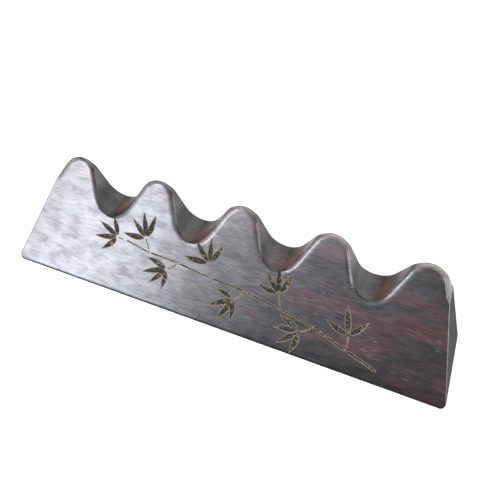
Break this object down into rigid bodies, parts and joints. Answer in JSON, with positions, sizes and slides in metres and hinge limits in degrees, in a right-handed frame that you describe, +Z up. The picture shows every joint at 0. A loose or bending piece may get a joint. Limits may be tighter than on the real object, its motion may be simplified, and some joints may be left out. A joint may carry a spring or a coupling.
{
  "type": "brush rack",
  "caption": "Low desk rest for writing brushes: a wedge-shaped hardwood bar with a leaning front face and a wavy top of round crests and troughs that hold the handles.",
  "frame": {"origin": "middle of the base, on the surface that it stands on", "axes": "+X along the row of crests, +Y towards the upright back face, +Z up"},
  "size_m": [0.16, 0.029, 0.0335],
  "materials": {
    "hardwood": "sanded and waxed dark hardwood, satin"
  },
  "bodies": {
    "root": {"rack_body": "hardwood"}
  },
  "joints": []
}
